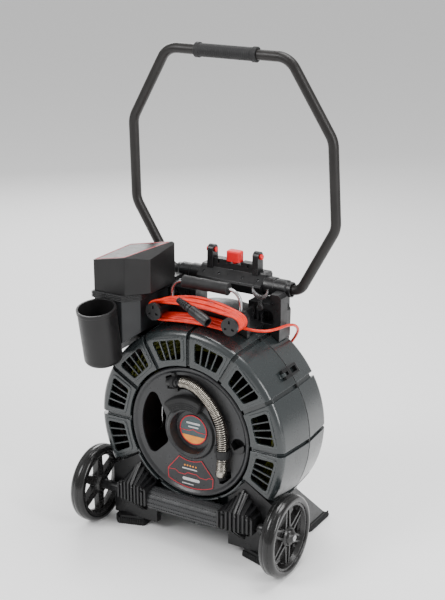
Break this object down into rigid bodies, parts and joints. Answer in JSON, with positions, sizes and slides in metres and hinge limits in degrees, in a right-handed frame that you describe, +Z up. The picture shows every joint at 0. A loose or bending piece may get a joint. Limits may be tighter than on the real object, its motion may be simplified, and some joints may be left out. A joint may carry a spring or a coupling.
{
  "type": "pipe inspection cable reel",
  "caption": "Wheeled drain inspection reel: round vented case, hand-turned cable drum, ribbed stand, dock, carry handle, storage bin, cup and folding hoop handle.",
  "frame": {"origin": "middle of the footprint at floor level, under the middle of the overall box", "axes": "+X to the machine's right as seen from the front, +Y back, +Z up; the drum's face looks along -Y"},
  "size_m": [0.602, 0.4322, 1.2245],
  "materials": {
    "case_shell": "satin, lightly textured",
    "drum_plate": "satin moulded",
    "black_plastic": "textured",
    "handle_metal": "satin powder coat",
    "steel": "satin",
    "grip_rubber": "matt",
    "tyre_rubber": "matt",
    "wheel_plastic": "satin",
    "red_plastic": "satin",
    "cable_jacket": "satin",
    "connector": "satin moulded",
    "push_rod": "satin",
    "badge": "gloss",
    "label": "satin",
    "lid_plastic": "satin",
    "camera_steel": "polished"
  },
  "bodies": {
    "machine": {"front_case": "case_shell", "rear_case": "case_shell", "case_seal": "grip_rubber", "rear_bearing": "steel", "slip_ring_housing": "black_plastic", "side_frame_left": "black_plastic", "side_frame_right": "black_plastic", "bumper_left": "black_plastic", "bumper_right": "black_plastic", "front_feet": "grip_rubber", "rear_feet": "grip_rubber", "front_bar": "black_plastic", "rear_bar": "black_plastic", "axle": "steel", "top_bridge": "black_plastic", "cord_wraps": "black_plastic", "carry_tube": "steel", "carry_grip": "grip_rubber", "dock_body": "black_plastic", "dock_post_left": "black_plastic", "dock_post_right": "black_plastic", "handle_bushes": "black_plastic", "rear_struts": "black_plastic", "storage_bin": "black_plastic", "bin_rim": "black_plastic", "lid_hinge_pin": "steel", "cup": "lid_plastic", "cable_coil": "cable_jacket", "cable_connector": "connector", "system_cable": "cable_jacket", "cable_gland": "black_plastic"},
    "drum": {"drum_front_plate": "drum_plate", "camera_trough": "drum_plate", "drum_basket": "black_plastic", "drum_shaft": "steel", "slip_ring": "steel", "hub_badge": "badge", "front_label": "label", "finger_pull": "grip_rubber", "thumb_cup": "drum_plate", "camera_head": "camera_steel", "camera_hose": "camera_steel", "camera_clips": "grip_rubber", "push_cable": "push_rod"},
    "left_wheel": {"wheel_left": "wheel_plastic", "tyre_left": "tyre_rubber", "hub_cap_left": "black_plastic"},
    "right_wheel": {"wheel_right": "wheel_plastic", "tyre_right": "tyre_rubber", "hub_cap_right": "black_plastic"},
    "hoop": {"handle_tube": "handle_metal", "handle_grip": "grip_rubber"},
    "button": {"release_button": "red_plastic"},
    "left_pin": {"post_pin_left": "red_plastic"},
    "right_pin": {"post_pin_right": "red_plastic"},
    "lid": {"bin_lid": "lid_plastic"},
    "knob": {"lock_knob": "black_plastic"},
    "lever": {"lock_lever": "steel"},
    "left_latch": {"latch_left": "steel"},
    "right_latch": {"latch_right": "steel"}
  },
  "joints": [
    {"name": "drum_spin", "type": "hinge", "parent": "machine", "child": "drum", "pos_m": [0, 0.00706, 0.302], "axis": [0, 1, 0], "continuous": true},
    {"name": "left_wheel_spin", "type": "hinge", "parent": "machine", "child": "left_wheel", "pos_m": [-0.274, -0.09894, 0.1015], "axis": [1, 0, 0], "continuous": true},
    {"name": "right_wheel_spin", "type": "hinge", "parent": "machine", "child": "right_wheel", "pos_m": [0.274, -0.09894, 0.1015], "axis": [1, 0, 0], "continuous": true},
    {"name": "handle_fold", "type": "hinge", "parent": "machine", "child": "hoop", "pos_m": [0, 0.12706, 0.637], "axis": [-1, 0, 0], "range_deg": [0, 175]},
    {"name": "release_button_press", "type": "slide", "parent": "machine", "child": "button", "axis": [0, 0, -1], "range_m": [0, 0.005], "stiffness_N_per_m": 400, "springref_m": -0.002},
    {"name": "left_pin_press", "type": "slide", "parent": "machine", "child": "left_pin", "axis": [1, 0, 0], "range_m": [0, 0.004], "stiffness_N_per_m": 300, "springref_m": -0.002},
    {"name": "right_pin_press", "type": "slide", "parent": "machine", "child": "right_pin", "axis": [-1, 0, 0], "range_m": [0, 0.004], "stiffness_N_per_m": 300, "springref_m": -0.002},
    {"name": "lid_open", "type": "hinge", "parent": "machine", "child": "lid", "pos_m": [-0.266, -0.03494, 0.634], "axis": [0, -1, 0], "range_deg": [0, 100]},
    {"name": "lock_knob_turn", "type": "hinge", "parent": "machine", "child": "knob", "pos_m": [-0.151, 0.05706, 0.622], "axis": [0, 1, 0], "range_deg": [0, 90]},
    {"name": "lock_lever_turn", "type": "hinge", "parent": "machine", "child": "lever", "pos_m": [0.112, 0.05906, 0.603], "axis": [0, 1, 0], "range_deg": [0, 60]},
    {"name": "left_latch_open", "type": "hinge", "parent": "machine", "child": "left_latch", "pos_m": [-0.26708, -0.00994, 0.37356], "axis": [0.2588, 0, 0.9659], "range_deg": [0, 70]},
    {"name": "right_latch_open", "type": "hinge", "parent": "machine", "child": "right_latch", "pos_m": [0.21788, -0.00994, 0.47223], "axis": [0.6157, 0, -0.788], "range_deg": [0, 70]}
  ]
}
